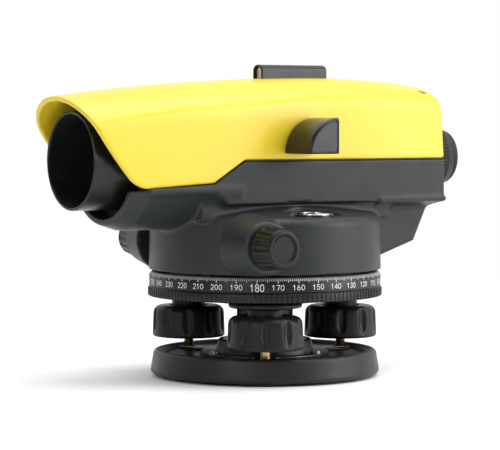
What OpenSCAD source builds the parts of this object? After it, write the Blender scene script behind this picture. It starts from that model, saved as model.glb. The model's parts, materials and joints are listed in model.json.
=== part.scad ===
// Automatic level: a surveyor's self-levelling telescope on a graduated circle and three foot screws.
// Millimetres. +Z is up, the telescope looks along -Y, and the origin is the centre of the seat
// on the tripod head. The observer stands at +Y.

/* [Base] */
// Radius of the base plate at its foot
base_r = 50.9; // [50:0.1:51.5]
// Height of the base plate's rim above the seat
base_top = 11.7; // [11.4:0.1:12]
// Radius of the plain bore that stands for the 5/8 inch tripod thread
thread_r = 7.94; // [7.9:0.01:8]
// Height of the base plate's central hub
hub_top = 16.3; // [15.5:0.1:16.5]

/* [Foot screws] */
// Distance of a foot screw from the vertical axis
foot_r = 39.7; // [39:0.1:40]
// Direction of foot screw C from +X, seen from above, in degrees
foot_azimuth = -33.2; // [-60:0.1:60]
// Radius of a foot screw's knob
foot_knob_r = 16.5; // [16:0.1:16.8]
// Underside of the foot knobs
foot_knob_z = 15.3; // [15.1:0.1:15.6]
// Height of a foot knob
foot_knob_h = 14.3; // [14:0.1:14.5]
// Grip flutes on a foot knob
foot_flutes = 10; // [8:1:14]

/* [Circle] */
// Outer radius of the graduated circle
circle_r = 52; // [51.8:0.1:53]
// Underside of the circle
circle_z = 35.6; // [35.4:0.1:35.8]
// Height of the circle
circle_h = 11; // [10.8:0.1:11.1]
// Grip teeth round the foot of the circle
circle_teeth = 144; // [96:12:180]

/* [Body] */
// Radius of the drum under the telescope
drum_r = 51; // [50.5:0.1:51.5]
// Underside of the drum
drum_z = 47.5; // [47.3:0.1:47.7]
// Height of the optical axis above the seat
axis_z = 96; // [95.9:0.1:96.1]
// Half width of the telescope's casing
case_x = 26.8; // [26.6:0.1:27]
// Rear face of the casing
case_rear = 80; // [79.8:0.1:80.2]
// Radius of the round trough under the objective
trough_r = 30; // [29.8:0.1:30.2]
// Thickness of the cover's wall
cover_t = 2.3; // [2:0.1:2.5]
// Crest of the cover above the seat
cover_crest = 131.9; // [131.5:0.1:132.5]
// Front tip of the hood
hood_y = -106.8; // [-108:0.1:-105]

/* [Telescope] */
// Outer radius of the objective tube
tube_r = 21; // [20.5:0.1:21]
// Front rim of the objective tube
tube_front = -98.2; // [-100:0.1:-97]
// Radius of the eyepiece's ring
eyepiece_r = 15.2; // [14.8:0.1:15.4]

/* [Drive] */
// Height of the drive screw's axis
worm_z = 59.6; // [59.5:0.1:59.7]
// Radius of the two drive knobs
drive_knob_r = 9.4; // [9:0.1:9.6]
// End of each drive knob from the middle plane
drive_knob_end = 62.2; // [60:0.1:64]

/* [Hidden] */
$fn = 96;
gap = 0.06;             // running clearance on a radius
slack = 0.3;            // room between parts that move past each other
ball_r = 3.6;
ball_z = 6.8;
pad_h = 1.1;            // the three pads and the hub stand this far below the base plate
floor_z = 9.6;          // floor of the dish in the base plate
screw_r = 3;
sleeve_r = 7.6;         // sleeve of a foot screw's bush under the tribrach
lobe_r = 16;
lobe_at = 35.5;
ceiling_z = 66.8;       // roof of the drive chamber in the drum
channel_z = 71.5;       // floor of the telescope's channel
ledge_z = 77;           // lower edge of the casing's side walls
skirt_z = 84.2;         // lowest edge of the cover
worm_y = -31.4;         // the drive screw lies across, in front of the vertical axis
wheel_teeth = 75;
wheel_r = 26.5;         // pitch radius of the drive wheel
worm_pitch = 2 * PI * wheel_r / wheel_teeth;
pinion_teeth = 12;
pinion_r = 3.6;
pinion_y = -12;
pinion_z = axis_z - 1 - pinion_r;
rack_pitch = 2 * PI * pinion_r / pinion_teeth;
vial_at = [38, 0];
cover_screw_at = [18, 73, 124.5];
axis_screw_azimuths = [25, 155, 205, 335];
feet = [foot_azimuth + 120, foot_azimuth + 240, foot_azimuth];   // A, B and C

// ---------------------------------------------------------------- shapes used more than once

// Points of an arc about [x, y], from angle a to angle b
function arc(x, y, r, a, b, n = 6) =
    [for (i = [0:n]) [x + r * cos(a + (b - a) * i / n), y + r * sin(a + (b - a) * i / n)]];

module cyl_x(r, x0, x1, r2 = 0) {
    translate([x0, 0, 0]) rotate([0, 90, 0]) cylinder(r1 = r, r2 = r2 > 0 ? r2 : r, h = x1 - x0);
}

module cyl_y(r, y0, y1, r2 = 0) {
    translate([0, y0, axis_z]) rotate([-90, 0, 0]) cylinder(r1 = r, r2 = r2 > 0 ? r2 : r, h = y1 - y0);
}

module tube_y(r_out, r_in, y0, y1) {
    difference() {
        cyl_y(r_out, y0, y1);
        cyl_y(r_in, y0 - 1, y1 + 1);
    }
}

module tube_z(r_out, r_in, z0, z1) {
    translate([0, 0, z0]) difference() {
        cylinder(r = r_out, h = z1 - z0);
        translate([0, 0, -1]) cylinder(r = r_in, h = z1 - z0 + 2);
    }
}

// A box from its lowest corner to its highest
module block(low, high) {
    translate(low) cube(high - low);
}

module at_foot(i) {
    rotate([0, 0, feet[i]]) translate([foot_r, 0, 0]) children();
}

// A lens about the optical axis, with arcs of sagitta s0 in front and s1 behind
module lens_y(r, y0, y1, s0, s1) {
    n = 12;
    front = [for (i = [0:n]) [r * i / n, y0 - s0 * (1 - pow(i / n, 2))]];
    rear = [for (i = [n:-1:0]) [r * i / n, y1 + s1 * (1 - pow(i / n, 2))]];
    translate([0, 0, axis_z]) rotate([-90, 0, 0]) rotate_extrude() polygon(concat(front, rear));
}

// Outline of a wheel with straight-sided teeth; the first tooth is centred on angle start
function toothed(n, root, tip, wide, narrow, start) = [
    for (i = [0:n - 1], k = [0:3])
        let (r = (k == 0 || k == 3) ? root : tip, w = (k == 0 || k == 3) ? wide : narrow,
             side = k < 2 ? -1 : 1, a = start + 360 * i / n + side * w / 2 / r * 180 / PI)
        [r * cos(a), r * sin(a)]];

// A screw with a slotted head, its head's underside at the origin, pointing down
module screw(head_r, head_h, shank_r, shank_l) {
    difference() {
        union() {
            cylinder(r = head_r, h = head_h);
            translate([0, 0, -shank_l]) cylinder(r = shank_r, h = shank_l + 0.1);
        }
        translate([-head_r, -0.3, head_h - 0.5]) cube([2 * head_r, 0.6, 1]);
    }
}

// ---------------------------------------------------------------- base

module base_plate() {
    outline = concat(
        [[thread_r, 0], [14, 0], [14, pad_h]],
        arc(base_r - 1.8, pad_h + 1.8, 1.8, -90, -3),
        arc(base_r - 2.9, base_top - 1.8, 1.8, 3, 90),
        [[45.6, base_top], [44.5, floor_z], [22.2, floor_z], [20.8, hub_top], [thread_r, hub_top]]);
    color("dimgray") difference() {
        union() {
            rotate_extrude() polygon(outline);
            for (i = [0:2]) rotate([0, 0, feet[i] - 14.3]) rotate_extrude(angle = 28.6)
                translate([33, 0]) square([15.2, pad_h + 0.5]);
        }
        for (i = [0:2]) at_foot(i) {
            translate([0, 0, ball_z]) sphere(r = ball_r + slack, $fn = 48);
            translate([0, 0, ball_z]) cylinder(r = ball_r + slack, h = 10);
        }
        for (i = [0:2]) rotate([0, 0, feet[i] + 60]) translate([25.6, 0, 5]) cylinder(r = 1.25, h = 10);
    }
}

// Holds the ball feet of the three screws down
module spring_plate() {
    color("black") difference() {
        translate([0, 0, floor_z]) union() {
            cylinder(r = 28.6, h = 1);
            for (i = [0:2]) {
                rotate([0, 0, feet[i]]) translate([24, -5, 0]) cube([foot_r - 24, 10, 1]);
                at_foot(i) cylinder(r = 4.6, h = 1);
            }
        }
        translate([0, 0, floor_z - 1]) cylinder(r = 22.5, h = 3);
        for (i = [0:2]) at_foot(i) translate([0, 0, floor_z - 1]) cylinder(r = 3.2, h = 3);
        for (i = [0:2]) rotate([0, 0, feet[i] + 60]) translate([25.6, 0, floor_z - 1])
            cylinder(r = 1.3, h = 3);
    }
}

module spring_screws() {
    color("silver") for (i = [0:2]) rotate([0, 0, feet[i] + 60]) translate([25.6, 0, floor_z + 1])
        screw(2.3, 1.3, 1.2, 5);
}

// ---------------------------------------------------------------- foot screws

// The ball ends of screws A and B, which roll in their sockets as the level is tipped fore and aft
module foot_balls() {
    color("goldenrod") for (i = [0, 1]) at_foot(i) {
        translate([0, 0, ball_z]) sphere(r = ball_r, $fn = 48);
        translate([0, 0, ball_z]) cylinder(r = 1.9, h = 3.6);
    }
}

module foot_spindle(i) {
    color("goldenrod") at_foot(i) {
        if (i == 2) {
            translate([0, 0, ball_z]) sphere(r = ball_r, $fn = 48);
            translate([0, 0, ball_z]) cylinder(r = 2.1, h = 10.5);
        } else {
            translate([0, 0, ball_z + 3.6 + slack]) cylinder(r = 2.1, h = 10.5 - 3.6 - slack);
        }
        translate([0, 0, 17]) cylinder(r = screw_r, h = 20);
    }
}

module foot_knob(i) {
    top = foot_knob_z + foot_knob_h;
    outline = concat(
        [[screw_r + gap, foot_knob_z], [foot_knob_r - 1.2, foot_knob_z]],
        arc(foot_knob_r - 1.2, foot_knob_z + 1.2, 1.2, -90, 0, 4),
        arc(foot_knob_r - 0.5 - 3, top - 3, 3, 0, 90),
        [[8.6, top], [8.6, 21.5], [screw_r + gap, 21.5]]);
    color("darkslategray") at_foot(i) difference() {
        rotate_extrude() polygon(outline);
        for (k = [0:foot_flutes - 1]) rotate([0, 0, 360 * k / foot_flutes])
            translate([foot_knob_r + 0.6, 0, foot_knob_z + 3.2]) cylinder(r = 2.1, h = 20, $fn = 24);
    }
}

// ---------------------------------------------------------------- tribrach

module tribrach_body() {
    color("dimgray") difference() {
        union() {
            translate([0, 0, 32.8]) cylinder(r = 24, h = 2.2);
            for (i = [0:2]) rotate([0, 0, feet[i]]) translate([lobe_at, 0, 32.8])
                cylinder(r1 = lobe_r - 1, r2 = lobe_r, h = 2.2);
            for (i = [0:2]) at_foot(i) translate([0, 0, 25]) cylinder(r = sleeve_r, h = 13);
            translate([0, 0, 20.5]) cylinder(r = 12.5, h = 14);
            translate([0, 0, 34]) cylinder(r = 18, h = 13.4);
            translate([0, 0, 46]) cylinder(r = 12, h = 17.8);
        }
        translate([0, 0, 20]) cylinder(r = 8, h = 50);
        for (i = [0:2]) at_foot(i) translate([0, 0, 24]) cylinder(r = 5.5, h = 20);
    }
}

module foot_bushes() {
    color("goldenrod") for (i = [0:2]) at_foot(i) tube_z(5.5, screw_r + gap, 25, 38);
}

module axis_bushing() {
    color("peru") tube_z(8, 6 + gap, 20.5, 63.6);
}

module clutch_washer() {
    color("silver") tube_z(17, 12, 47.4, 48.6);
}

// ---------------------------------------------------------------- graduated circle

module circle_ring() {
    top = circle_z + circle_h;
    grip = circle_z + 3.9;
    color("black") difference() {
        rotate_extrude() polygon([[48.6, circle_z], [circle_r, circle_z], [circle_r, grip],
            [circle_r - 0.6, grip + 0.3], [circle_r - 0.6, top - 1.5], [circle_r - 2, top], [48.6, top]]);
        for (k = [0:circle_teeth - 1]) rotate([0, 0, 360 * k / circle_teeth])
            translate([circle_r - 0.7, -0.45, circle_z - 1]) cube([2, 0.9, 4.5]);
    }
}

module circle_hub() {
    color("gray") {
        tube_z(48.6, 18 + gap + 0.04, 42.4, 44);
        tube_z(21, 18 + gap + 0.04, 36, 46.8);
    }
}

// ---------------------------------------------------------------- horizontal drive

module drive_wheel() {
    color("goldenrod") difference() {
        union() {
            translate([0, 0, worm_z - 1.5]) linear_extrude(3)
                polygon(toothed(wheel_teeth, wheel_r - 0.8, wheel_r + 0.45, 1.1, 0.5, -90));
            translate([0, 0, 48.9]) cylinder(r = 16.5, h = 14.9);
        }
        translate([0, 0, 48]) cylinder(r = 12 + gap, h = 20);
    }
}

// One thread, as a ring of trapezoids swept along a right-handed helix about X
module worm_thread(turns, steps, root, tip) {
    n = turns * steps;
    points = [for (i = [0:n])
        let (a = 360 * i / steps, x = worm_pitch * (i / steps - turns / 2))
        for (c = [[-0.5, root - 0.3], [0.5, root - 0.3], [0.25, tip], [-0.25, tip]])
            [x + c[0], c[1] * cos(a), c[1] * sin(a)]];
    sides = [for (i = [0:n - 1], k = [0:3])
        let (j = (k + 1) % 4, a = 4 * i + k, b = 4 * i + j) each [[b, a, a + 4], [b, a + 4, b + 4]]];
    polyhedron(points, concat(sides, [[0, 1, 2, 3], [4 * n + 3, 4 * n + 2, 4 * n + 1, 4 * n]]));
}

module worm_shaft() {
    color("silver") translate([0, worm_y, worm_z]) {
        cyl_x(2.5, -drive_knob_end + 2, drive_knob_end - 2);
        cyl_x(4, -8, 8);
        worm_thread(5, 20, 4, 5.3);
    }
}

module worm_bushes() {
    color("goldenrod") translate([0, worm_y, worm_z]) for (s = [0, 1]) mirror([s, 0, 0]) difference() {
        cyl_x(5, 38, 49.9);
        cyl_x(2.5 + gap, 37, 51);
    }
}

module drive_knob(s) {
    color("darkslategray") translate([0, worm_y, worm_z]) mirror([s, 0, 0]) difference() {
        rotate([0, 90, 0]) rotate_extrude() polygon(concat(
            [[2.5, 50.3], [drive_knob_r - 0.6, 50.3], [drive_knob_r, 50.9]],
            arc(drive_knob_r - 2.2, drive_knob_end - 1.2, 1.2, 0, 90, 4),
            [[6, drive_knob_end], [5.6, drive_knob_end - 0.5], [2.5, drive_knob_end - 0.5]]));
        for (k = [0:15]) rotate([22.5 * k, 0, 0]) translate([0, drive_knob_r + 0.3, 0])
            cyl_x(0.7, 51.5, 70);
    }
}

// ---------------------------------------------------------------- casing

// Height of the cover's crest at station y
function crest(y) = y < 28
    ? cover_crest - 8.6 * pow((28 - y) / 134, 2)
    : cover_crest - 3.6 * pow((y - 28) / 52, 2);
// How far the crease between the cover's side and its roof lies below the crest
function crease_drop(y) = 7.3 + 7.5 * max(0, min(1, (43 - y) / 74)) + 4.2 * max(0, (-31 - y) / 75);
// Depth of the roof's centre below the crease: 0 runs into the side smoothly, more gives a flatter roof
function flatness(y) = 20 * pow(max(0, (y + 60) / 140), 1.5);
// Lower edge of the cover: level over the drum, and dropped round the objective
drop_from = -27.6;
drop_to = -43;
function lower_edge(y) =
    y >= drop_from ? axis_z
    : y > drop_to ? axis_z - 9.6 * (y - drop_from) / (drop_to - drop_from)
    : 86.4 - 2.2 * (drop_to - y) / 37;
// Front edge of the hood at height z
function hood_edge(z) = let (k = max(0, (z - skirt_z) / 39)) -80.2 + (hood_y + 80.2) * k * (1.38 - 0.38 * k);

cover_half = 27.3;
side_draft = 0.03;      // the sides lean in as they rise
side_bow = 0.4;         // and are very slightly crowned
cols = 28;
edge_cols = 3;          // columns of facets on each side, below the crease
// Point of the cover's section at station y; u runs from -1 at the right edge to 1 at the left
function section(y, u, t) = let (
    split = 1 - 2 * edge_cols / cols,
    crease = crest(y) - crease_drop(y) - t / 2,
    rise = crease_drop(y) + flatness(y) - t / 2,
    side = cover_half - t - side_draft * (crease - axis_z),
    edge_a = asin(flatness(y) / rise),
    a = 90 - (90 - edge_a) * min(1, abs(u) / split),
    k = max(0, (abs(u) - split) / (1 - split)),
    z = k > 0 ? crease + (lower_edge(y) - crease) * k : crease - flatness(y) + rise * sin(a),
    x = k > 0 ? side + (cover_half - t - side) * k + side_bow * k * (1 - k) : side / cos(edge_a) * cos(a))
    [(u < 0 ? -1 : 1) * x, y, z];

// Station of row i on the column u: raked like the hood's edge in front, square across behind
hood_rows = 6;
drop_rows = 2;
rear_rows = 9;
rows = hood_rows + drop_rows + rear_rows;
function station(i, u, rear) =
    i < hood_rows ? let (
            guess = hood_edge(section(-95, u, 0)[2]),
            front = hood_edge(section(guess, u, 0)[2]))
        front + (drop_to - front) * i / hood_rows
    : i < hood_rows + drop_rows ? drop_to + (drop_from - drop_to) * (i - hood_rows) / drop_rows
    : drop_from + (rear - drop_from) * (i - hood_rows - drop_rows) / rear_rows;

module cover_shell() {
    us = [for (k = [0:cols]) -1 + 2 * k / cols];
    outer = [for (i = [0:rows], k = [0:cols]) section(station(i, us[k], case_rear), us[k], 0)];
    inner = [for (i = [0:rows], k = [0:cols])
        section(station(i, us[k], case_rear - cover_t), us[k], cover_t)];
    w = cols + 1;
    m = (rows + 1) * w;
    last = rows * w;
    skin = [for (i = [0:rows - 1], k = [0:cols - 1])
        let (a = i * w + k) each [[a + w + 1, a + w, a], [a + 1, a + w + 1, a]]];
    lining = [for (f = skin) [m + f[2], m + f[1], m + f[0]]];
    front = [for (k = [0:cols - 1]) each [[m + k + 1, k + 1, k], [m + k, m + k + 1, k]]];
    sides = [for (i = [0:rows - 1]) let (a = i * w, b = a + cols)
        each [[m + a + w, m + a, a], [a + w, m + a + w, a], [m + b, m + b + w, b], [m + b + w, b + w, b]]];
    outer_cap = [for (k = [0:cols]) last + k];
    inner_cap = [for (k = [cols:-1:0]) m + last + k];
    foot = [[m + last, last, last + cols], [m + last + cols, m + last, last + cols]];
    polyhedron(concat(outer, inner), concat(skin, lining, front, sides, [outer_cap, inner_cap], foot),
        convexity = 6);
}

module top_cover() {
    color("yellow") difference() {
        cover_shell();
        cyl_y(12.1, 70, 90);
        block([-3.65, -4.05, 130.2], [3.65, 31.05, 140]);
        for (s = [-1, 1]) translate([s * cover_screw_at[0], cover_screw_at[1], 0]) {
            translate([0, 0, cover_screw_at[2]]) cylinder(r = 2.5, h = 20);
            translate([0, 0, 110]) cylinder(r = 1.45, h = 20);
        }
    }
}

// The drum with its domed shelf
module drum() {
    rotate_extrude() polygon(concat([[0, drum_z], [drum_r + 0.5, drum_z]],
        arc(drum_r - 4, 67.4, 4, 0, 80), [[25, 75.2], [0, 75.2]]));
}

module lower_housing() {
    color("slategray") difference() {
        union() {
            drum();
            // side walls and floor of the telescope's channel, up to the cover's edge
            rotate([90, 0, 90]) translate([0, 0, -case_x]) linear_extrude(2 * case_x)
                polygon([[-74.7, 82.6], [-42, 82.6], [-36, ledge_z], [case_rear, ledge_z],
                    [case_rear, axis_z - 0.4], [-27.2, axis_z - 0.4], [-42.8, 86], [-74.7, 84.1]]);
            // bulkhead that carries the objective tube
            cyl_y(24.6, -75, -69);
            block([-24, -48, 70], [24, 51, ledge_z + 1]);
            // round trough under the objective
            intersection() {
                union() {
                    cyl_y(trough_r, -74.7, -30);
                    cyl_y(27.4, -83.2, -74.7, trough_r);
                }
                block([-case_x, -90, 60], [case_x, -30, skirt_z - 0.6]);
            }
            // rear foot of the casing
            rotate([90, 0, 90]) translate([0, 0, -20]) linear_extrude(40)
                polygon([[40, 78], [76, 78], [75.1, 74], [67.9, 58.6], [50.4, 52.7], [40, 52.7]]);
            // sloping underside between the walls and the rear foot
            hull() {
                block([-case_x, 44, ledge_z], [case_x, case_rear, ledge_z + 0.5]);
                block([-20, 44, 74], [20, 75.1, 75]);
            }
            // bosses round the drive screw
            translate([0, worm_y, worm_z]) for (s = [0, 1]) mirror([s, 0, 0]) cyl_x(14.5, 34, 50, 11);
            // boss round the focusing shaft
            difference() {
                translate([0, pinion_y, pinion_z]) cyl_x(11, -30, -24);
                block([-31, -30, axis_z - 0.4], [-23, 10, 110]);
            }
        }
        // nothing reaches below the drum
        cylinder(r = 80, h = drum_z);
        // drive chamber
        translate([0, 0, 40]) cylinder(r = 47.6, h = ceiling_z - 40);
        // rear foot, hollow and open below
        rotate([90, 0, 90]) translate([0, 0, -17]) linear_extrude(34)
            polygon([[40, ceiling_z], [68, ceiling_z], [65, 61], [49, 55.6], [40, 55.6]]);
        // telescope's channel
        block([-24, -69, 79.5], [24, case_rear - 2.8, 120]);
        block([-21.5, -46, channel_z], [21.5, 44, 100]);
        intersection() {
            cyl_y(trough_r - 2.7, -69, -44);
            block([-24, -70, 60], [24, -40, 100]);
        }
        // recess in front of the bulkhead and the tube's seat in it
        cyl_y(25, -90, -76);
        cyl_y(tube_r + gap, -80, -60);
        // eyepiece tube
        cyl_y(12.1, 70, 90);
        // drive screw, focusing shaft, circular level
        translate([0, worm_y, worm_z]) cyl_x(5, -60, 60);
        translate([0, pinion_y, pinion_z]) cyl_x(4, -31, -20);
        translate([vial_at[0], vial_at[1], 69]) cylinder(r = 8.2, h = 3.2);
        translate([vial_at[0], vial_at[1], 71.9]) cylinder(r = 12.4, h = 8.6);
        for (s = [-1, 1]) translate([vial_at[0] - 2, s * 10.3, 69.5]) cylinder(r = 1, h = 8);
        for (a = axis_screw_azimuths) rotate([0, 0, a]) translate([12, 0, 60]) cylinder(r = 1.3, h = 20);
        translate([0, 0, 60]) cylinder(r = 6.2, h = 20);
    }
    // pillars for the cover's screws
    color("slategray") for (s = [-1, 1])
        translate([s * cover_screw_at[0], cover_screw_at[1], 0]) difference() {
        translate([0, 0, 79.4]) cylinder(r = 2.6, h = 41.8);
        translate([0, 0, 104]) cylinder(r = 1.3, h = 20);
    }
}

// Thin seal between the cover and the casing
module cover_gasket() {
    color("black") difference() {
        block([-case_x, -27.2, axis_z - 0.4], [case_x, case_rear, axis_z]);
        block([-case_x + 2, -30, axis_z - 1], [case_x - 2, case_rear - 2.5, axis_z + 1]);
        cyl_y(12.1, 70, 90);
    }
}

module cover_screws() {
    color("silver") for (s = [-1, 1])
        translate([s * cover_screw_at[0], cover_screw_at[1], cover_screw_at[2]])
        screw(2.1, 0.9, 1.25, 18);
}

module index_mark() {
    color("white") rotate([0, 0, 90]) translate([drum_r + 0.5, 0, drum_z]) {
        translate([0, -1, 0]) cube([0.4, 2, 4]);
    }
}

// ---------------------------------------------------------------- vertical axis

module vertical_axis() {
    color("silver") difference() {
        union() {
            translate([0, 0, 21.5]) cylinder(r = 6, h = 44);
            translate([0, 0, ceiling_z - 2.4]) cylinder(r = 15.5, h = 2.4);
        }
        for (a = axis_screw_azimuths) rotate([0, 0, a]) translate([12, 0, 60]) cylinder(r = 1.3, h = 20);
    }
}

module axis_screws() {
    color("silver") for (a = axis_screw_azimuths) rotate([0, 0, a]) translate([12, 0, channel_z])
        screw(2.2, 1.4, 1.2, 6.9);
}

// ---------------------------------------------------------------- telescope

module objective_tube() {
    color("black") difference() {
        cyl_y(tube_r, tube_front, -52);
        cyl_y(tube_r - 1.4, tube_front - 1, -68.4);
        cyl_y(tube_r - 3, -70, -66);
        cyl_y(tube_r - 1.4, -66.2, -50);
    }
}

module objective_lens() {
    color("lightblue") lens_y(tube_r - 1.5, -65.6, -62, 2, 1.4);
}

module lens_retainer() {
    color("dimgray") tube_y(tube_r - 1.45, 16.5, -60.4, -58.6);
}

module focus_barrel() {
    color("dimgray") difference() {
        union() {
            cyl_y(16, -57, -8);
            cyl_y(tube_r - 1.45, -58, -54);
        }
        cyl_y(13.1, -60, 0);
        block([-20, -52, axis_z - 0.7], [-8, -20, axis_z + 3.7]);
    }
    // saddle that holds the barrel on the channel's floor
    color("dimgray") difference() {
        block([-9, -38, channel_z], [9, -12, 84]);
        cyl_y(15.9, -60, 0);
    }
}

// The rack's teeth point down, and one is centred over the pinion at rest
module focus_cell() {
    color("goldenrod") {
        tube_y(13, 10.5, -43, -29);
        block([-17, -42, axis_z], [-12.6, -31, axis_z + 3]);
        block([-19.4, -42, axis_z], [-16.4, 2, axis_z + 3]);
        for (k = [-7:7]) translate([-19.4, pinion_y + k * rack_pitch, axis_z]) rotate([90, 0, 90])
            linear_extrude(3)
                polygon([[-0.5, 0.3], [-0.5, -0.3], [-0.22, -1.5], [0.22, -1.5], [0.5, -0.3], [0.5, 0.3]]);
    }
}

module focus_lens() {
    color("lightblue") lens_y(10.45, -39, -33, -1.2, -1.2);
}

module focus_pinion() {
    color("silver") translate([0, pinion_y, pinion_z]) {
        translate([-19.4, 0, 0]) rotate([90, 0, 90]) linear_extrude(3)
            polygon(toothed(pinion_teeth, 2.75, 4.1, 0.95, 0.4, 90 + 180 / pinion_teeth));
        cyl_x(1.9, -43, -16.4);
    }
}

module focus_bush() {
    color("goldenrod") translate([0, pinion_y, pinion_z]) difference() {
        cyl_x(4, -30, -21);
        cyl_x(1.9 + gap, -31, -20);
    }
}

module focus_knob() {
    color("darkslategray") translate([0, pinion_y, pinion_z]) mirror([1, 0, 0]) difference() {
        rotate([0, 90, 0]) rotate_extrude() polygon(concat(
            [[1.9, 30.4], [13.2, 30.4], [14, 31.2]], arc(12.2, 43.2, 1.8, 0, 90),
            [[9.5, 45], [9, 44.4], [1.9, 44.4]]));
        for (k = [0:15]) rotate([22.5 * k, 0, 0]) translate([0, 14.8, 0]) cyl_x(1.3, 33, 50);
    }
}

// ---------------------------------------------------------------- compensator

module compensator_frame() {
    color("dimgray") {
        block([-14, 8, channel_z], [14, 43.5, channel_z + 2.5]);
        for (s = [-1, 1]) translate([s * 12.5, 0, 0]) block([-1.5, 20, channel_z + 2], [1.5, 36, 117]);
        block([-14, 23, 114], [14, 33, 117]);
        block([-6, 9, channel_z + 2], [6, 17, 86]);
        block([-6, 38.5, channel_z + 2], [6, 43.5, 86]);
    }
}

module fixed_prisms() {
    color("lightblue") {
        rotate([90, 0, 90]) translate([0, 0, -8]) linear_extrude(16) polygon([[9, 86], [18, 86], [18, 106]]);
        rotate([90, 0, 90]) translate([0, 0, -8]) linear_extrude(16)
            polygon([[38, 86], [50, 86], [38, 106]]);
    }
}

module damper_magnets() {
    color("silver") for (y = [19, 33.6]) block([-5, y, channel_z + 2.5], [5, y + 3.4, channel_z + 8]);
}

module pendulum() {
    color("goldenrod") {
        block([-8.5, 25.5, 103], [8.5, 30.5, 107]);
        for (s = [-1, 1]) translate([s * 8.5, 0, 0]) block([-0.8, 25.5, 80], [0.8, 30.5, 107]);
        block([-9.3, 24.5, 76], [9.3, 31.5, 81]);
    }
}

module pendulum_prism() {
    color("lightblue") rotate([90, 0, 90]) translate([0, 0, -7.4]) linear_extrude(14.8)
        polygon([[21.5, 88], [34.5, 88], [32, 103], [24, 103]]);
}

module suspension_tapes() {
    color("silver") for (s = [-1, 1], y = [26.3, 29.5])
        block([s * 6.5 - 0.75, y, 107], [s * 6.5 + 0.75, y + 0.2, 113.7]);
}

// ---------------------------------------------------------------- eyepiece

module eyepiece_tube() {
    color("dimgray") {
        tube_y(12.04, 10.7, 58, 90);
        tube_y(14, 12.04, case_rear, case_rear + 1);
    }
}

module reticle_cell() {
    color("goldenrod") {
        tube_y(10.7, 8, 59, 60);
        tube_y(10.7, 9, 60, 63);
    }
}

module reticle_glass() {
    color("lightblue") cyl_y(8.95, 60.05, 61.6);
}

module eyepiece_cell() {
    color("dimgray") tube_y(10.6, 8.5, 74, 96.4);
}

module eyepiece_lenses() {
    color("lightblue") {
        lens_y(8.45, 79, 81, 0.6, 1.4);
        lens_y(8.45, 90, 92, 1.4, 0.6);
    }
}

module eyepiece_ring() {
    color("darkslategray") difference() {
        translate([0, 0, axis_z]) rotate([-90, 0, 0]) rotate_extrude() polygon(concat(
            [[12.4, 83.6], [eyepiece_r - 1, 83.6]], arc(eyepiece_r - 1, 84.6, 1, -90, 0, 4),
            [[eyepiece_r, 92.4]], arc(eyepiece_r - 2.6, 95.4, 1.6, 20, 90, 4),
            [[10.6 + gap, 97], [10.6 + gap, 92.6], [12.4, 92.6]]));
        for (k = [0:35]) translate([0, 0, axis_z]) rotate([0, 10 * k, 0])
            translate([eyepiece_r + 0.1, 85.6, 0])
            rotate([-90, 0, 0]) cylinder(r = 0.5, h = 5.8, $fn = 16);
    }
}

module eyecup() {
    color("black") tube_y(12.2, 9, 97, 99.4);
}

// ---------------------------------------------------------------- sight, circular level, mirror

// Arched outline of the open sight, across x
module sight_outline(inset) {
    intersection() {
        translate([-3.65 + inset, 0]) square([7.3 - 2 * inset, 7.5 - inset]);
        translate([0, 2.6]) circle(r = 5 - inset);
    }
}

module optical_sight() {
    color("black") translate([0, 31, 130.2]) rotate([90, 0, 0]) difference() {
        linear_extrude(35) sight_outline(0);
        translate([0, 0.9, -1]) linear_extrude(37) sight_outline(0.9);
    }
}

module sight_lenses() {
    color("lightblue") for (y = [28, -1]) translate([0, y, 131.15]) rotate([90, 0, 0])
        linear_extrude(1.4) sight_outline(0.95);
}

module vial_cup() {
    color("dimgray") translate([vial_at[0], vial_at[1], 0]) difference() {
        translate([0, 0, 69]) cylinder(r = 8, h = 3.4);
        translate([0, 0, 69.8]) cylinder(r = 5.7, h = 5);
    }
}

module vial_bezel() {
    color("silver") translate([vial_at[0], vial_at[1], 0]) tube_z(7.4, 5.5, 72.4, 73.4);
}

module vial_glass() {
    color("yellowgreen") translate([vial_at[0], vial_at[1], 69.8]) cylinder(r = 5.45, h = 3.2);
}

module vial_screws() {
    color("silver") for (s = [-1, 1]) translate([vial_at[0] - 2, s * 10.3, 71.9]) screw(1.6, 1, 0.95, 2.3);
}

hood_r = 15.6;
hood_at = [28, 7.5, 98.7];      // rear lower inner corner of the mirror's hood

// A quarter of a drum: its round side looks forward and up, and its window looks back
module mirror_hood() {
    color("black") translate(hood_at) difference() {
        intersection() {
            cyl_x(hood_r, -0.7, 19.2);
            block([-1, -hood_r, 0], [20, 0, hood_r]);
        }
        intersection() {
            cyl_x(hood_r - 1.6, 0.8, 17.8);
            block([-1, -hood_r, -1], [20, 1, hood_r]);
        }
        block([0.8, -hood_r + 1.6, -1], [17.8, 1, 0.5]);
    }
}

module bubble_prism() {
    color("lightblue") translate(hood_at) rotate([90, 0, 90]) translate([0, 0, 1.2]) linear_extrude(16.2)
        polygon([[-0.4, 0.7], [-10.8, 0.7], [-10.8, 2.4], [-2, 11.2], [-0.4, 11.2]]);
}

// ---------------------------------------------------------------- the whole level

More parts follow.
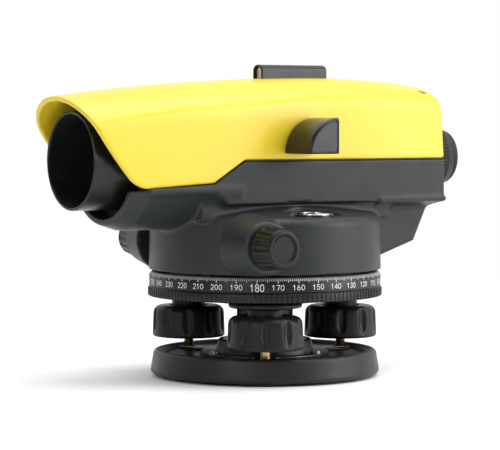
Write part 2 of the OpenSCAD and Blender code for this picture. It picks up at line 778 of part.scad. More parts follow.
base_plate();
spring_plate();
spring_screws();
foot_balls();
foot_spindle(0);  // foot_spindle_a
foot_spindle(1);  // foot_spindle_b
foot_spindle(2);  // foot_spindle_c
foot_knob(0);  // foot_knob_a
foot_knob(1);  // foot_knob_b
foot_knob(2);  // foot_knob_c
tribrach_body();
foot_bushes();
axis_bushing();
clutch_washer();
circle_ring();
circle_hub();
drive_wheel();
lower_housing();
top_cover();
cover_gasket();
cover_screws();
vertical_axis();
axis_screws();
objective_tube();
objective_lens();
lens_retainer();
focus_barrel();
compensator_frame();
fixed_prisms();
damper_magnets();
eyepiece_tube();
reticle_cell();
reticle_glass();
optical_sight();
sight_lenses();
vial_cup();
vial_bezel();
vial_glass();
vial_screws();
mirror_hood();
bubble_prism();
worm_bushes();
focus_bush();
worm_shaft();
drive_knob(0);  // drive_knob_left
drive_knob(1);  // drive_knob_right
focus_cell();
focus_lens();
focus_pinion();
focus_knob();
eyepiece_cell();
eyepiece_lenses();
eyepiece_ring();
eyecup();
pendulum();
pendulum_prism();
suspension_tapes();
index_mark();
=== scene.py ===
"""Automatic level: the visual model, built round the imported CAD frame.

Lengths are in millimetres in the CAD's frame (+Z up, telescope along -Y, eyepiece at +Y), and
scaled to metres when a mesh is made. Cast and moulded pieces are distance fields meshed with
surface nets, turned pieces are lathed, and graduations are thin strips wrapped on the circle.
"""
import json
import math

import bpy
import numpy as np
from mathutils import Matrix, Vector


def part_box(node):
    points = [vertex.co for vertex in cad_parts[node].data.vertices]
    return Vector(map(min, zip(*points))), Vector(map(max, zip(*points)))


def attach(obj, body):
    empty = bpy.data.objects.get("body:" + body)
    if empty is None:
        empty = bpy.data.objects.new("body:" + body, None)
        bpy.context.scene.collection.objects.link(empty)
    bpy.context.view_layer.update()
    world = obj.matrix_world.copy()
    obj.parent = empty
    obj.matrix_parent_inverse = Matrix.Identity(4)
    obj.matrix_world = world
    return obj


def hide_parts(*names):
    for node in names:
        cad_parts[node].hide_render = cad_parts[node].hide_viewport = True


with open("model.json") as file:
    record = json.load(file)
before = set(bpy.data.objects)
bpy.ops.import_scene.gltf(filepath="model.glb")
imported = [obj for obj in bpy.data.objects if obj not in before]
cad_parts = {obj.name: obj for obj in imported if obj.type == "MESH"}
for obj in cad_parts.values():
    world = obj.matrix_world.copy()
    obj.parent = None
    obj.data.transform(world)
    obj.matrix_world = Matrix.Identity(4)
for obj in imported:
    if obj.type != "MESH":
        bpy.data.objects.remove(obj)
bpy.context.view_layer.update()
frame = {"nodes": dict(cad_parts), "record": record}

MM = 0.001
AXIS_Z = 96.0
CASE_REAR = 80.0
FOOT_R = 39.7
FOOT_AZ = -33.2
FEET = {"a": FOOT_AZ + 120, "b": FOOT_AZ + 240, "c": FOOT_AZ}
COARSE = 1.0

BALL_R, BALL_Z = 3.6, 6.8
DISH_Z = 9.6
SCREW_PITCH = 0.75
KNOB_FLUTES, DRIVE_RIBS, FOCUS_RIBS = 10, 16, 24
SIGHT_ARC_Z = 132.8
PINHOLE = 0.02          # a solid turned piece starts this far from its axis


def node_box(name):
    """Lowest and highest corners of a CAD node, in millimetres."""
    low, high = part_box(name)
    return np.array(low) / MM, np.array(high) / MM


# ---------------------------------------------------------------- distance fields

def smooth_union(a, b, k):
    h = np.clip(0.5 + 0.5 * (b - a) / k, 0, 1)
    return b + (a - b) * h - k * h * (1 - h)


def smooth_join(k, *fields):
    out = fields[0]
    for f in fields[1:]:
        out = smooth_union(out, f, k)
    return out


def smooth_both(a, b, k):
    return -smooth_union(-a, -b, k)


def smooth_cut(a, b, k):
    return -smooth_union(-a, b, k)


def box_field(p, low, high, r=0.0):
    low, high = np.array(low, float), np.array(high, float)
    centre, half = (low + high) / 2, (high - low) / 2 - r
    qx = np.abs(p[0] - centre[0]) - half[0]
    qy = np.abs(p[1] - centre[1]) - half[1]
    qz = np.abs(p[2] - centre[2]) - half[2]
    outside = np.sqrt(np.maximum(qx, 0) ** 2 + np.maximum(qy, 0) ** 2 + np.maximum(qz, 0) ** 2)
    return outside + np.minimum(np.maximum(qx, np.maximum(qy, qz)), 0) - r


def round_corner(a, b, r):
    """Intersection of two fields whose shared edge is a true arc of radius r."""
    u, v = a + r, b + r
    return np.minimum(np.maximum(u, v), 0) + np.sqrt(np.maximum(u, 0) ** 2 + np.maximum(v, 0) ** 2) - r


def rod_field(p, axis, centre, radius, start, end, r=0.0, end_radius=None):
    """A round bar or cone along an axis, from start to end, with edges of radius r."""
    along = p[axis]
    others = [i for i in range(3) if i != axis]
    radial = np.sqrt((p[others[0]] - centre[0]) ** 2 + (p[others[1]] - centre[1]) ** 2)
    if end_radius is None:
        side = radial - radius
    else:
        slope = (end_radius - radius) / (end - start)
        side = (radial - radius - slope * (along - start)) / math.sqrt(1 + slope * slope)
    cap = np.maximum(start - along, along - end)
    return round_corner(side, cap, r)


def polygon_field(u, v, points):
    """Signed distance to a polygon."""
    pts = np.array(points, float)
    n = len(pts)
    best = np.full(u.shape, 1e9)
    inside = np.zeros(u.shape, bool)
    for i in range(n):
        ax, ay = pts[i]
        bx, by = pts[(i + 1) % n]
        ex, ey = bx - ax, by - ay
        wx, wy = u - ax, v - ay
        t = np.clip((wx * ex + wy * ey) / (ex * ex + ey * ey), 0, 1)
        best = np.minimum(best, (wx - ex * t) ** 2 + (wy - ey * t) ** 2)
        crosses = (ay > v) != (by > v)
        side = (bx - ax) * (v - ay) / ((by - ay) if by != ay else 1e-9) + ax
        inside ^= crosses & (u < side)
    d = np.sqrt(best)
    return np.where(inside, -d, d)


def foot_at(key):
    """Where a foot screw's axis stands."""
    azimuth = math.radians(FEET[key])
    return FOOT_R * math.cos(azimuth), FOOT_R * math.sin(azimuth)


def turned_to(azimuth, x, y):
    """x and y measured along and across a direction."""
    ca, sa = math.cos(math.radians(azimuth)), math.sin(math.radians(azimuth))
    return x * ca + y * sa, -x * sa + y * ca


def nearest_flute(u, v, count, start=0.0):
    """u and v folded into the sector of the nearest flute of a knob."""
    step = 2 * math.pi / count
    turn = np.arctan2(v, u) - start
    turn = turn - step * np.round(turn / step)
    r = np.sqrt(u * u + v * v)
    return r * np.cos(turn), r * np.sin(turn)


def slab(p, axis, start, end):
    return np.maximum(start - p[axis], p[axis] - end)


def arc(cx, cy, r, start, end, n=8):
    return [(cx + r * math.cos(math.radians(start + (end - start) * i / n)),
             cy + r * math.sin(math.radians(start + (end - start) * i / n))) for i in range(n + 1)]


# ---------------------------------------------------------------- meshing

def surface_net(field, low, high, cell):
    """Vertices and quads of the zero surface of a field, by surface nets."""
    low, high = np.array(low, float) - 1.5 * cell, np.array(high, float) + 1.5 * cell
    counts = np.ceil((high - low) / cell).astype(int) + 1
    axes = [low[i] + cell * np.arange(counts[i]) for i in range(3)]
    values = np.empty(counts, np.float32)
    step = max(1, int(400000 / (counts[1] * counts[2])))
    for i in range(0, counts[0], step):
        grid = np.meshgrid(axes[0][i:i + step], axes[1], axes[2], indexing="ij")
        values[i:i + step] = field(grid)
    solid = values < 0
    corners = [(i, j, k) for i in (0, 1) for j in (0, 1) for k in (0, 1)]
    m = counts - 1

    def view(a, o):
        return a[o[0]:o[0] + m[0], o[1]:o[1] + m[1], o[2]:o[2] + m[2]]

    total = sum(view(solid, o).astype(np.int8) for o in corners)
    active = (total > 0) & (total < 8)
    cells = np.argwhere(active)
    index = -np.ones(m, np.int64)
    index[active] = np.arange(len(cells))
    sums = np.zeros((len(cells), 3))
    number = np.zeros(len(cells))
    for a in corners:
        for axis in range(3):
            if a[axis]:
                continue
            b = list(a)
            b[axis] = 1
            va = values[cells[:, 0] + a[0], cells[:, 1] + a[1], cells[:, 2] + a[2]]
            vb = values[cells[:, 0] + b[0], cells[:, 1] + b[1], cells[:, 2] + b[2]]
            cross = (va < 0) != (vb < 0)
            t = np.where(cross, va / np.where(cross, va - vb, 1), 0)
            point = np.tile(np.array(a, float), (len(cells), 1))
            point[:, axis] = t
            sums[cross] += point[cross]
            number[cross] += 1
    verts = low + cell * (cells + sums / number[:, None])
    quads = []
    for axis in range(3):
        o1, o2 = [(1, 2), (2, 0), (0, 1)][axis]
        a = [slice(1, m[i]) for i in range(3)]
        a[axis] = slice(0, m[axis])
        b = list(a)
        b[axis] = slice(1, m[axis] + 1)
        sa, sb = solid[tuple(a)], solid[tuple(b)]
        for first, flip in ((sa & ~sb, False), (~sa & sb, True)):
            at = np.argwhere(first)
            at[:, [o1, o2]] += 1
            ring = []
            for d1, d2 in ((1, 1), (0, 1), (0, 0), (1, 0)):
                c = at.copy()
                c[:, o1] -= d1
                c[:, o2] -= d2
                ring.append(index[c[:, 0], c[:, 1], c[:, 2]])
            q = np.stack(ring, 1)
            quads.append(q[:, ::-1] if flip else q)
    quads = np.concatenate(quads)
    quads = quads[(quads >= 0).all(1)]
    return verts, quads


def gradient(field, points, eps):
    out = np.empty(points.shape)
    base = points.T
    for i in range(3):
        up, down = base.copy(), base.copy()
        up[i] += eps
        down[i] -= eps
        out[:, i] = (field(up) - field(down)) / (2 * eps)
    return out


def make_mesh(name, verts, faces, normals=None, smooth=True):
    mesh = bpy.data.meshes.new(name)
    mesh.from_pydata((np.asarray(verts) * MM).tolist(), [], [list(map(int, f)) for f in faces])
    mesh.validate(clean_customdata=False)
    if smooth:
        mesh.polygons.foreach_set("use_smooth", [True] * len(mesh.polygons))
    if normals is not None and len(normals) == len(mesh.vertices):
        mesh.normals_split_custom_set_from_vertices(normals.tolist())
    mesh.update()
    obj = bpy.data.objects.new(name, mesh)
    bpy.context.scene.collection.objects.link(obj)
    return obj


def field_mesh(name, field, low, high, cell):
    """A closed mesh of a field, its vertices pulled onto the surface and shaded by its gradient."""
    cell = cell * COARSE
    verts, quads = surface_net(field, low, high, cell)
    for _ in range(3):
        slope = gradient(field, verts, 0.02)
        size = np.maximum(np.sum(slope * slope, 1), 0.25)
        move = -(field(verts.T) / size)[:, None] * slope
        reach = np.maximum(np.linalg.norm(move, axis=1, keepdims=True), 1e-9)
        verts += move * np.minimum(1, 0.45 * cell / reach)
    slope = gradient(field, verts, min(0.2, 0.25 * cell))
    normals = slope / np.maximum(np.linalg.norm(slope, axis=1, keepdims=True), 1e-9)
    return make_mesh(name, verts, quads, normals)


def lathe(name, profile, axis="z", centre=(0, 0, 0), steps=128, bulge=None, sharp=40):
    """A turned piece. The profile is (radius, along) points of a closed outline, clockwise seen
    with radius to the right; bulge(angle, radius, along) gives a change of radius."""
    n = len(profile)
    angles = 2 * np.pi * np.arange(steps) / steps
    r = np.array([q[0] for q in profile])[None, :] + 0 * angles[:, None]
    along = np.array([q[1] for q in profile])[None, :] + 0 * angles[:, None]
    turn = angles[:, None] + 0 * r
    if bulge is not None:
        r = r + bulge(turn, r, along)
    u, v = r * np.cos(turn), r * np.sin(turn)
    if axis == "z":
        pts = np.stack([u, v, along], -1)
    elif axis == "y":
        pts = np.stack([v, along, u], -1)
    else:
        pts = np.stack([along, u, v], -1)
    verts = pts.reshape(-1, 3) + np.array(centre, float)
    i = np.arange(steps)[:, None]
    k = np.arange(n)[None, :]
    a, b = i * n + k, i * n + (k + 1) % n
    c, d = ((i + 1) % steps) * n + (k + 1) % n, ((i + 1) % steps) * n + k
    faces = np.stack([a, d, c, b], -1).reshape(-1, 4)
    flat = np.array(profile)
    area = np.sum(flat[:, 0] * np.roll(flat[:, 1], -1) - np.roll(flat[:, 0], -1) * flat[:, 1])
    if area < 0:
        faces = faces[:, ::-1]
    obj = make_mesh(name, verts, faces)
    obj.data.set_sharp_from_angle(angle=math.radians(sharp))
    return obj


def rounded(points, r, n=4):
    """A closed outline with every corner rounded; r may be one number or one per corner."""
    out = []
    count = len(points)
    for i, point in enumerate(points):
        p0, p1, p2 = (np.array(points[(i + j) % count], float) for j in (-1, 0, 1))
        radius = r[i] if isinstance(r, (list, tuple)) else r
        d0, d2 = p0 - p1, p2 - p1
        l0, l2 = np.linalg.norm(d0), np.linalg.norm(d2)
        reach = min(radius, 0.45 * l0, 0.45 * l2)
        if reach < 0.02:
            out.append(tuple(p1))
            continue
        a, b = p1 + d0 / l0 * reach, p1 + d2 / l2 * reach
        for k in range(n + 1):
            t = k / n
            out.append(tuple((1 - t) ** 2 * a + 2 * t * (1 - t) * p1 + t * t * b))
    return out


def bevelled(obj, width):
    mod = obj.modifiers.new("edges", "BEVEL")
    mod.width = width * MM
    mod.segments = 2
    mod.limit_method = "ANGLE"
    mod.angle_limit = math.radians(40)


# ---------------------------------------------------------------- materials

class Nodes:
    """A short way to write a material's nodes."""

    def __init__(self, name):
        self.material = bpy.data.materials.new(name)
        self.material.use_nodes = True
        self.tree = self.material.node_tree
        self.shader = self.tree.nodes["Principled BSDF"]
        self.coords = self.add("ShaderNodeTexCoord")

    def add(self, kind, **values):
        node = self.tree.nodes.new(kind)
        for key, value in values.items():
            setattr(node, key, value)
        return node

    def link(self, a, b):
        self.tree.links.new(a, b)

    def noise(self, scale, detail=3.0, rough=0.55, stretch=None):
        node = self.add("ShaderNodeTexNoise")
        node.inputs["Scale"].default_value = scale
        node.inputs["Detail"].default_value = detail
        node.inputs["Roughness"].default_value = rough
        if stretch:
            mapping = self.add("ShaderNodeMapping")
            mapping.inputs["Scale"].default_value = stretch
            self.link(self.coords.outputs["Object"], mapping.inputs["Vector"])
            self.link(mapping.outputs["Vector"], node.inputs["Vector"])
        else:
            self.link(self.coords.outputs["Object"], node.inputs["Vector"])
        return node.outputs["Fac"]

    def cells(self, scale):
        node = self.add("ShaderNodeTexVoronoi", feature="F1")
        node.inputs["Scale"].default_value = scale
        self.link(self.coords.outputs["Object"], node.inputs["Vector"])
        return node.outputs["Distance"]

    def span(self, factor, low, high, start=0.3, end=0.7):
        node = self.add("ShaderNodeMapRange")
        node.inputs["From Min"].default_value = start
        node.inputs["From Max"].default_value = end
        node.inputs["To Min"].default_value = low
        node.inputs["To Max"].default_value = high
        self.link(factor, node.inputs["Value"])
        return node.outputs["Result"]

    def math(self, kind, a, b):
        node = self.add("ShaderNodeMath", operation=kind)
        for socket, value in zip(node.inputs, (a, b)):
            if isinstance(value, (int, float)):
                socket.default_value = value
            else:
                self.link(value, socket)
        return node.outputs["Value"]

    def mix(self, factor, a, b):
        node = self.add("ShaderNodeMix", data_type="RGBA")
        self.link(factor, node.inputs["Factor"])
        for socket, value in ((node.inputs["A"], a), (node.inputs["B"], b)):
            if isinstance(value, tuple):
                socket.default_value = (*value, 1)
            else:
                self.link(value, socket)
        return node.outputs["Result"]

    def bump(self, height, distance, strength=1.0):
        node = self.add("ShaderNodeBump")
        node.inputs["Strength"].default_value = strength
        node.inputs["Distance"].default_value = distance * MM
        self.link(height, node.inputs["Height"])
        self.link(node.outputs["Normal"], self.shader.inputs["Normal"])

    def edges(self):
        """Near 1 on sharp convex edges."""
        geometry = self.add("ShaderNodeNewGeometry")
        return self.span(geometry.outputs["Pointiness"], 0.0, 1.0, 0.52, 0.6)

    def set(self, **values):
        for key, value in values.items():
            socket = self.shader.inputs[key.replace("_", " ")]
            if isinstance(value, bpy.types.NodeSocket):
                self.link(value, socket)
            else:
                socket.default_value = value
        return self.material


def shade(*rgb):
    return tuple(float(c) for c in rgb)


def moulded(name, base, darker, rough, grain, depth, coat=0.0, wear=None, specular=0.5):
    """Moulded or painted surface: fine grain, patchy gloss, slight colour drift, rubbed edges."""
    m = Nodes(name)
    drift = m.noise(28, 4)
    fine = m.noise(grain, 3, 0.6)
    pits = m.cells(grain * 0.55)
    colour = m.mix(m.span(drift, 0.0, 1.0, 0.35, 0.68), darker, base)
    if wear is not None:
        scratch = m.span(m.noise(420, 5, 0.7), 0.0, 1.0, 0.46, 0.62)
        colour = m.mix(m.math("MULTIPLY", m.edges(), scratch), colour, wear)
    height = m.math("ADD", m.math("MULTIPLY", fine, 0.7), m.math("MULTIPLY", pits, 0.5))
    m.bump(height, depth)
    gloss = m.span(m.noise(60, 4), rough - 0.05, rough + 0.07, 0.35, 0.65)
    m.set(Base_Color=colour, Roughness=gloss, Specular_IOR_Level=specular)
    m.set(Coat_Weight=coat, Coat_Roughness=0.12)
    return m.material


def turned(name, base, darker, rough, stretch=(1, 1, 60), tarnish=None, depth=0.03):
    """Machined metal with fine turning marks and faint staining."""
    m = Nodes(name)
    lines = m.noise(40, 3, 0.6, stretch)
    stain = m.noise(90, 5, 0.65)
    colour = m.mix(m.span(stain, 0.0, 1.0, 0.35, 0.7), base, darker)
    if tarnish is not None:
        colour = m.mix(m.span(m.noise(300, 4), 0.0, 0.7, 0.55, 0.75), colour, tarnish)
    m.bump(lines, depth, 0.6)
    gloss = m.span(lines, rough - 0.06, rough + 0.1, 0.3, 0.7)
    return m.set(Base_Color=colour, Roughness=gloss, Metallic=1.0)


def optical(name, tint, painted_reflection, rough=0.03):
    """Coated glass: dark, with a coloured reflection painted into its colour where it is seen edge-on."""
    m = Nodes(name)
    smear = m.noise(140, 4)
    fresnel = m.add("ShaderNodeLayerWeight")
    fresnel.inputs["Blend"].default_value = 0.35
    # painted reflection: the colour turns from the tint to the reflection colour as the surface is seen more
    # edge-on
    colour = m.mix(fresnel.outputs["Facing"], tint, painted_reflection)
    gloss = m.span(smear, rough, rough + 0.05, 0.35, 0.7)
    return m.set(Base_Color=colour, Roughness=gloss, Specular_IOR_Level=0.9, Coat_Weight=1.0,
                 Coat_Roughness=0.03)


YELLOW = moulded("cover_yellow", shade(0.73, 0.545, 0.022), shade(0.71, 0.525, 0.018), 0.36, 900, 0.008,
                 coat=0.1)
GREY = moulded("housing_grey", shade(0.022, 0.025, 0.0265), shade(0.0185, 0.021, 0.0225), 0.44, 1500, 0.035,
               wear=shade(0.042, 0.046, 0.048), specular=0.27)
DARK_GREY = moulded("base_grey", shade(0.011, 0.0115, 0.011), shade(0.009, 0.0095, 0.009), 0.42, 1500,
                    0.035, wear=shade(0.025, 0.026, 0.025), specular=0.3)
BLACK = moulded("black_plastic", shade(0.012, 0.012, 0.012), shade(0.009, 0.009, 0.009), 0.36, 1300, 0.02)
KNOB = moulded("knob_plastic", shade(0.008, 0.0085, 0.008), shade(0.006, 0.0065, 0.006), 0.38, 1300, 0.02,
               wear=shade(0.018, 0.018, 0.018), specular=0.22)
GLOSS_BLACK = moulded("gloss_black", shade(0.008, 0.009, 0.009), shade(0.006, 0.007, 0.007), 0.16, 700,
                      0.003, specular=0.35)
ANODISED = moulded("black_anodised", shade(0.006, 0.006, 0.0055), shade(0.0045, 0.0045, 0.004), 0.3,
                   1800, 0.004, specular=0.35)
BAFFLE = moulded("baffle_black", shade(0.003, 0.003, 0.003), shade(0.002, 0.002, 0.002), 0.6, 1500, 0.02,
                 specular=0.1)
RUBBER = moulded("grip_rubber", shade(0.016, 0.016, 0.016), shade(0.011, 0.011, 0.011), 0.58, 1600, 0.03,
                 specular=0.3)
CIRCLE = moulded("circle_black", shade(0.008, 0.008, 0.008), shade(0.006, 0.006, 0.006), 0.42, 1600, 0.015,
                 specular=0.35)
BAND = moulded("circle_band", shade(0.075, 0.077, 0.075), shade(0.065, 0.066, 0.065), 0.5, 1600, 0.015)
WHITE = moulded("index_white", shade(0.72, 0.72, 0.70), shade(0.62, 0.62, 0.60), 0.5, 1500, 0.004)
BRASS = turned("brass", shade(0.62, 0.45, 0.19), shade(0.5, 0.35, 0.14), 0.3, tarnish=shade(0.3, 0.2, 0.09))
STEEL = turned("steel", shade(0.56, 0.56, 0.57), shade(0.46, 0.46, 0.47), 0.3)
ZINC = turned("olive_zinc", shade(0.34, 0.29, 0.09), shade(0.26, 0.22, 0.07), 0.45)
SPRING = turned("spring_steel", shade(0.09, 0.092, 0.1), shade(0.06, 0.062, 0.07), 0.4, stretch=(40, 3, 1))
CHROME = turned("chrome", shade(0.7, 0.7, 0.71), shade(0.64, 0.64, 0.65), 0.12, depth=0.002)
ALUMINIUM = turned("aluminium", shade(0.12, 0.12, 0.125), shade(0.09, 0.09, 0.095), 0.4)
# the second colour of each glass is a painted reflection, shown where the glass is seen edge-on
GLASS = optical("glass", shade(0.02, 0.03, 0.035), shade(0.25, 0.22, 0.36))
WINDOW = optical("sight_window", shade(0.62, 0.62, 0.5), shade(0.75, 0.75, 0.64), 0.25)
SPIRIT = optical("vial_green", shade(0.3, 0.42, 0.05), shade(0.6, 0.7, 0.25))
GASKET = moulded("gasket", shade(0.02, 0.019, 0.014), shade(0.014, 0.013, 0.01), 0.65, 1500, 0.015)

SLOT_LOOK = {
    "cover_yellow": YELLOW, "housing_grey": GREY, "base_grey": DARK_GREY, "black_anodised": ANODISED,
    "black_plastic": BLACK, "grip_rubber": RUBBER, "circle_black": CIRCLE, "spring_steel": SPRING,
    "steel": STEEL, "chrome": CHROME, "brass": BRASS, "aluminium": ALUMINIUM, "gasket": GASKET,
    "glass": GLASS, "vial_green": SPIRIT, "index_white": WHITE,
}
NODE_SLOT = {s["node"]: s["material_slot"] for s in frame["record"]["subparts"]}
NODE_BODY = {n: b for b, ns in frame["record"]["behaviour"]["bodies"].items() for n in ns}


def paint(obj, *materials):
    obj.data.materials.clear()
    for m in materials:
        obj.data.materials.append(m)


def stand_for(obj, *nodes, look=None):
    """obj takes the place of CAD nodes of one body and wears the first one's finish."""
    slot = NODE_SLOT[nodes[0]]
    if not obj.data.materials:
        paint(obj, look or SLOT_LOOK[slot])
    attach(obj, NODE_BODY[nodes[0]])
    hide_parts(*nodes)


def go_with(obj, body, slot):
    """obj is an added detail that rides on a body."""
    paint(obj, SLOT_LOOK[slot])
    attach(obj, body)


# ---------------------------------------------------------------- top cover

COVER_HALF = 27.3
COVER_T = 2.3
CREST = 131.9
DRAFT = 0.03            # lean of the sides
HOOD_Y = -106.8
SKIRT_Z = 84.2
DROP_FROM, DROP_TO = -27.6, -43.0
SCREW_AT = (18, 73)


def crest(y):
    """Height of the cover's top line."""
    return np.where(y < 28, CREST - 8.6 * ((28 - y) / 134) ** 2, CREST - 3.6 * ((y - 28) / 52) ** 2)


def crease_drop(y):
    """How far the crease between side and roof lies below the crest."""
    return 7.3 + 7.5 * np.clip((43 - y) / 74, 0, 1) + 4.2 * np.maximum(0, (-31 - y) / 75)


def flatness(y):
    """How far below the crease the centre of the roof's ellipse lies."""
    return 20 * np.maximum(0, (y + 60) / 140) ** 1.5


def section_field(p, inset):
    """Distance from the cover's section, inset by a thickness: an arched roof over nearly flat sides."""
    x, y, z = p
    drop, flat = crease_drop(y), flatness(y)
    top = crest(y)
    crease = top - drop
    tall = drop + flat
    half = COVER_HALF - DRAFT * np.clip(z - AXIS_Z, 0, 40)
    side = half - inset
    crease_half = COVER_HALF - DRAFT * (crease - AXIS_Z)
    reach = crease_half / np.sqrt(np.maximum(1 - (flat / tall) ** 2, 0.05)) - inset
    rise = tall - inset
    u, v = x / reach, np.maximum(z - crease + flat, 0) / rise
    rho = np.sqrt(u * u + v * v)
    slope = np.sqrt((u / reach) ** 2 + (v / rise) ** 2) / np.maximum(rho, 1e-6)
    roof = (rho - 1) / np.maximum(slope, 0.02)
    wall = np.abs(x) - side
    gap = reach + inset - crease_half
    soft = np.clip(gap + 1.6, 1.0, 4.5)
    return smooth_both(roof, wall, soft)


def lower_edge(y):
    """The cover's lower edge: the axis height, a slope, then the skirt."""
    drop = AXIS_Z - 9.6 * (y - DROP_FROM) / (DROP_TO - DROP_FROM)
    low = 86.4 - 2.2 * (DROP_TO - y) / 37
    return np.where(y >= DROP_FROM, AXIS_Z, np.where(y > DROP_TO, drop, low))


def hood_edge(z):
    """The raked front edge of the hood."""
    k = np.clip((z - SKIRT_Z) / 39, 0, 1.3)
    return -80.2 + (HOOD_Y + 80.2) * k * (1.38 - 0.38 * k)


def cover_field(p):
    x, y, z = p
    outer = section_field(p, 0.0)
    inner = section_field(p, COVER_T)
    rear_lean = CASE_REAR - 0.04 * np.maximum(0, z - AXIS_Z)
    outer = round_corner(outer, y - rear_lean, 2.0)
    inner = np.maximum(inner, y - (rear_lean - COVER_T))
    front = (hood_edge(z) - y) * 0.72
    below = (lower_edge(y) - z) * 0.85
    trim = round_corner(front, below, 4.0)
    body = smooth_both(outer, trim, 1.2)
    shell = smooth_cut(body, inner, 0.9)
    eyepiece = np.sqrt(x ** 2 + (z - AXIS_Z) ** 2) - 12.1
    shell = smooth_cut(shell, np.maximum(eyepiece, 70 - y), 0.5)
    for side in (-1, 1):
        dimple = np.sqrt((x - side * SCREW_AT[0]) ** 2 + (y - SCREW_AT[1]) ** 2) - 2.5
        shell = smooth_cut(shell, np.maximum(dimple, 124.5 - z), 0.5)
    seat = box_field(p, (-3.65, -4.05, 130.2), (3.65, 31.05, 140))
    return np.maximum(shell, -seat)


def build_cover():
    obj = field_mesh("top_cover_shell", cover_field, (-27.6, -107.2, 83.6), (27.6, 80.4, 132.3), 0.8)
    stand_for(obj, "top_cover")


# ---------------------------------------------------------------- lower housing

DRUM_Z = 47.5
WORM_Y, WORM_Z = -31.4, 59.6
PINION_Y, PINION_Z = -12.0, 91.4
VIAL = (38.0, 0.0)


def housing_field(p):
    x, y, z = p
    r = np.sqrt(x * x + y * y)
    drum = polygon_field(r, z, [(-5, DRUM_Z + 0.4), (51.1, DRUM_Z + 0.4), (50.6, 67.4)]
                         + arc(46.6, 67.4, 4, 5, 80) + [(25, 74.8), (-5, 74.8)]) - 0.4
    walls = polygon_field(y, z, [(-74.4, 82.9), (-42.2, 82.9), (-36.2, 77.3), (79.7, 77.3),
                                 (79.7, 95.3), (-27.3, 95.3), (-42.9, 85.7), (-74.4, 83.8)]) - 0.3
    walls = round_corner(walls, np.abs(x) - 26.8, 0.7)
    neck = box_field(p, (-24, -48, 70), (24, 51, 78.5), 0.5)
    axial = np.sqrt(x * x + (z - AXIS_Z) ** 2)
    trough = round_corner(axial - 30, slab(p, 1, -74.7, -30), 0.5)
    lip = rod_field(p, 1, (0, AXIS_Z), 27.4, -83.2, -74.2, 0.9, end_radius=30.2)
    trough = np.minimum(trough, lip)
    trough = smooth_both(trough, np.maximum(np.abs(x) - 26.8, z - 83.6), 0.8)
    foot = polygon_field(y, z, [(36, 77.6), (75.6, 77.6), (74.7, 74.2), (67.5, 59.2), (50.2, 53.5),
                                (36, 53.5)]) - 0.8
    foot = round_corner(foot, np.abs(x) - 20, 1.4)
    lean = (np.abs(x) - 20 - 2.27 * (z - 74)) * 0.403
    lean_back = (y - 75.1 - 1.63 * (z - 74)) * 0.523
    skirt = np.maximum(np.maximum(lean, lean_back), np.maximum(np.maximum(74 - z, z - 78), 44 - y))
    foot = smooth_union(foot, np.maximum(skirt, np.abs(x) - 26.8), 1.2)
    bosses = rod_field((np.abs(x), y, z), 0, (WORM_Y, WORM_Z), 14.5, 34, 50, 0.8, end_radius=11)
    shaft_boss = np.maximum(rod_field(p, 0, (PINION_Y, PINION_Z), 11, -30, -24, 0.8), z - 95.6)
    upper = smooth_join(3.0, walls, trough)
    upper = smooth_union(upper, neck, 1.6)
    body = smooth_join(2.2, drum, upper, foot)
    body = smooth_union(body, bosses, 1.8)
    body = smooth_union(body, shaft_boss, 1.2)
    body = np.maximum(body, DRUM_Z - z)
    bulkhead = rod_field(p, 1, (0, AXIS_Z), 24.6, -75, -69, 0.5)
    body = np.minimum(body, bulkhead)
    # hollows
    chamber = np.maximum(r - 47.6, z - 66.8)
    inside = box_field(p, (-24, -69, 79.5), (24, 77.2, 130), 0.5)
    channel = box_field(p, (-21.5, -46, 71.5), (21.5, 44, 100), 0.5)
    round_part = np.maximum(np.maximum(axial - 27.3, slab(p, 1, -69, -44)), np.abs(x) - 24)
    foot_hollow = np.maximum(polygon_field(y, z, [(40, 66.8), (67, 66.8), (64, 61.3), (49, 56), (40, 56)]),
                             np.abs(x) - 17)
    hollow = np.minimum(np.minimum(chamber, inside), np.minimum(channel, round_part))
    hollow = np.minimum(hollow, foot_hollow)
    body = smooth_cut(body, hollow, 0.5)
    body = np.minimum(body, bulkhead)
    body = smooth_cut(body, np.maximum(axial - 24.9, y + 75), 0.4)
    body = np.maximum(body, -np.maximum(axial - 21.06, slab(p, 1, -82, -60)))
    body = np.maximum(body, -np.maximum(axial - 12.1, 70 - y))
    body = np.maximum(body, -np.sqrt((y - WORM_Y) ** 2 + (z - WORM_Z) ** 2) + 5)
    body = np.maximum(body, -np.maximum(np.sqrt((y - PINION_Y) ** 2 + (z - PINION_Z) ** 2) - 4, x + 20))
    vial_r = np.sqrt((x - VIAL[0]) ** 2 + (y - VIAL[1]) ** 2)
    body = np.maximum(body, -np.maximum(vial_r - 8.2, slab(p, 2, 69, 73)))
    body = smooth_cut(body, np.maximum(vial_r - 12.4, slab(p, 2, 71.9, 77.6)), 0.8)
    axis_hole = np.maximum(r - 6.2, z - 80)
    body = np.maximum(body, -axis_hole)
    return body


def build_housing():
    obj = field_mesh("casing_lower", housing_field, (-50.5, -83.6, 47.4), (52, 80.2, 96), 0.9)
    pillars = []
    for side in (-1, 1):
        pillars.append(lathe("pillar", rounded([(1.3, 79.4), (2.6, 79.4), (2.6, 121.2), (1.3, 121.2)], 0.3),
                             centre=(side * SCREW_AT[0], SCREW_AT[1], 0), steps=24))
    join(obj, pillars)
    stand_for(obj, "lower_housing")


def join(target, others):
    """Joins meshes into target, keeping the target's name."""
    with bpy.context.temp_override(active_object=target, selected_editable_objects=[target, *others]):
        bpy.ops.object.join()


# ---------------------------------------------------------------- base and levelling screws

